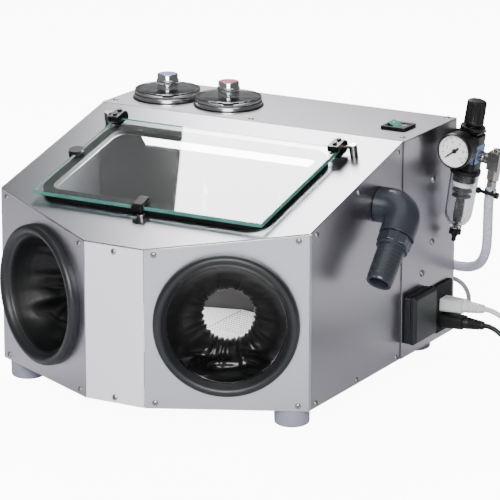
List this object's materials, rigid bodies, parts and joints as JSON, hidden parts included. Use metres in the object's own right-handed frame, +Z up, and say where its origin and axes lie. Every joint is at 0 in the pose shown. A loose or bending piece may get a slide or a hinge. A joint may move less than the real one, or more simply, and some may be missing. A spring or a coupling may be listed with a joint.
{
  "type": "sandblast cabinet",
  "caption": "Benchtop blasting cabinet: faceted steel casing, two sleeved arm ports, hinged glass window, two abrasive tanks, exhaust elbow, filter-regulator and mains leads.",
  "frame": {"origin": "centre of the underside of the box round the cabinet and everything fixed to it, on the bench", "axes": "+Z up, -Y towards the operator (arm ports and window), +X to the operator's right (elbow, regulator and mains leads)"},
  "size_m": [0.7491, 0.6454, 0.3731],
  "materials": {
    "stainless": "fine brushed stainless sheet",
    "white_panel": "pale satin printed panel",
    "foot_plastic": "grey moulded plastic",
    "black_plastic": "black moulded plastic, satin",
    "green_plastic": "glossy green and black rocker",
    "rubber": "black extruded or moulded rubber",
    "sleeve_rubber": "soft glossy black sleeve material",
    "glass": "6 mm clear float glass with a green edge",
    "clear_plastic": "clear acrylic or polycarbonate",
    "hose_plastic": "translucent braided hose",
    "chrome": "polished",
    "brass": "turned",
    "pipe_plastic": "dark grey pressure-pipe plastic",
    "lamp_glass": "white diffuser",
    "white_rubber": "white flexible cord plastic",
    "black_rubber": "black flexible cord plastic"
  },
  "bodies": {
    "cabinet": {"base_pan": "stainless", "foot_front_left": "foot_plastic", "foot_front_right": "foot_plastic", "foot_rear_left": "foot_plastic", "foot_rear_right": "foot_plastic", "right_side_panel": "stainless", "left_side_panel": "stainless", "centre_front_panel": "white_panel", "right_port_panel": "stainless", "left_port_panel": "stainless", "window_panel": "stainless", "top_plate": "stainless", "rear_shell": "stainless", "partition_wall": "stainless", "floor_grate": "stainless", "lamp_tube": "lamp_glass", "window_gasket": "rubber", "hinge_post_left": "chrome", "hinge_post_right": "chrome", "port_ring_left": "rubber", "port_ring_right": "rubber", "sleeve_left": "sleeve_rubber", "sleeve_right": "sleeve_rubber", "blue_tank": "stainless", "red_tank": "stainless", "switch_frame": "black_plastic", "socket_housing": "black_plastic", "inlet_plate": "black_plastic", "regulator_bracket": "black_plastic", "regulator_body": "black_plastic", "gauge_case": "black_plastic", "filter_bowl": "clear_plastic", "outlet_fitting": "chrome", "air_hose": "hose_plastic", "pilot_tube": "foot_plastic", "white_plug": "white_rubber", "white_cord": "white_rubber", "white_coil": "white_rubber", "white_far_plug": "white_rubber", "black_plug": "black_rubber", "black_cord": "black_rubber", "black_coil": "black_rubber", "black_far_plug": "black_rubber"},
    "window": {"window_glass": "glass", "hinge_clamp_left": "black_plastic", "hinge_clamp_right": "black_plastic", "front_handle": "black_plastic", "left_handle": "black_plastic"},
    "blue_lid": {"blue_cap": "clear_plastic"},
    "red_lid": {"red_cap": "clear_plastic"},
    "blue_lid_knob": {"blue_knob": "chrome"},
    "red_lid_knob": {"red_knob": "chrome"},
    "rocker": {"switch_rocker": "green_plastic"},
    "elbow": {"exhaust_elbow": "pipe_plastic", "hose_nozzle": "pipe_plastic"},
    "outlet_lid": {"socket_lid": "black_plastic"},
    "spindle": {"regulator_spindle": "brass"},
    "pressure_knob": {"regulator_knob": "black_plastic"},
    "needle": {"gauge_needle": "black_plastic"},
    "drain": {"drain_cock": "black_plastic"}
  },
  "joints": [
    {"name": "window_hinge", "type": "hinge", "parent": "cabinet", "child": "window", "pos_m": [-0.04388, 0.0226, 0.33173], "axis": [-1, 0, 0], "range_deg": [0, 110]},
    {"name": "rocker_tilt", "type": "hinge", "parent": "cabinet", "child": "rocker", "pos_m": [0.15462, 0.1485, 0.334], "axis": [0, -1, 0], "range_deg": [0, 21.8]},
    {"name": "elbow_swivel", "type": "hinge", "parent": "cabinet", "child": "elbow", "pos_m": [0.21612, 0.0145, 0.2607], "axis": [1, 0, 0], "continuous": true},
    {"name": "outlet_lid_hinge", "type": "hinge", "parent": "cabinet", "child": "outlet_lid", "pos_m": [0.20812, 0.1215, 0.113], "axis": [0, -1, 0], "range_deg": [0, 95], "stiffness_Nm_per_rad": 0.03, "springref_deg": -17.19},
    {"name": "spindle_turn", "type": "hinge", "parent": "cabinet", "child": "spindle", "pos_m": [0.22812, 0.21, 0.2625], "axis": [0.1564, 0, 0.9877], "range_deg": [0, 1440]},
    {"name": "pressure_knob_pull", "type": "slide", "parent": "spindle", "child": "pressure_knob", "axis": [0.1564, 0, 0.9877], "range_m": [0, 0.003]},
    {"name": "needle_turn", "type": "hinge", "parent": "cabinet", "child": "needle", "pos_m": [0.23531, 0.1585, 0.30793], "axis": [0, 1, 0], "range_deg": [0, 270]},
    {"name": "drain_turn", "type": "hinge", "parent": "cabinet", "child": "drain", "pos_m": [0.22812, 0.21, 0.2625], "axis": [0.1564, 0, 0.9877], "range_deg": [0, 90]},
    {"name": "blue_cap_lift", "type": "slide", "parent": "cabinet", "child": "blue_lid", "axis": [0, 0, 1], "range_m": [0, 0.06]},
    {"name": "blue_knob_turn", "type": "hinge", "parent": "blue_lid", "child": "blue_lid_knob", "pos_m": [-0.21938, 0.1535, 0.35], "axis": [0, 0, 1], "range_deg": [0, 1080]},
    {"name": "red_cap_lift", "type": "slide", "parent": "cabinet", "child": "red_lid", "axis": [0, 0, 1], "range_m": [0, 0.06]},
    {"name": "red_knob_turn", "type": "hinge", "parent": "red_lid", "child": "red_lid_knob", "pos_m": [-0.11838, 0.1535, 0.35], "axis": [0, 0, 1], "range_deg": [0, 1080]}
  ]
}
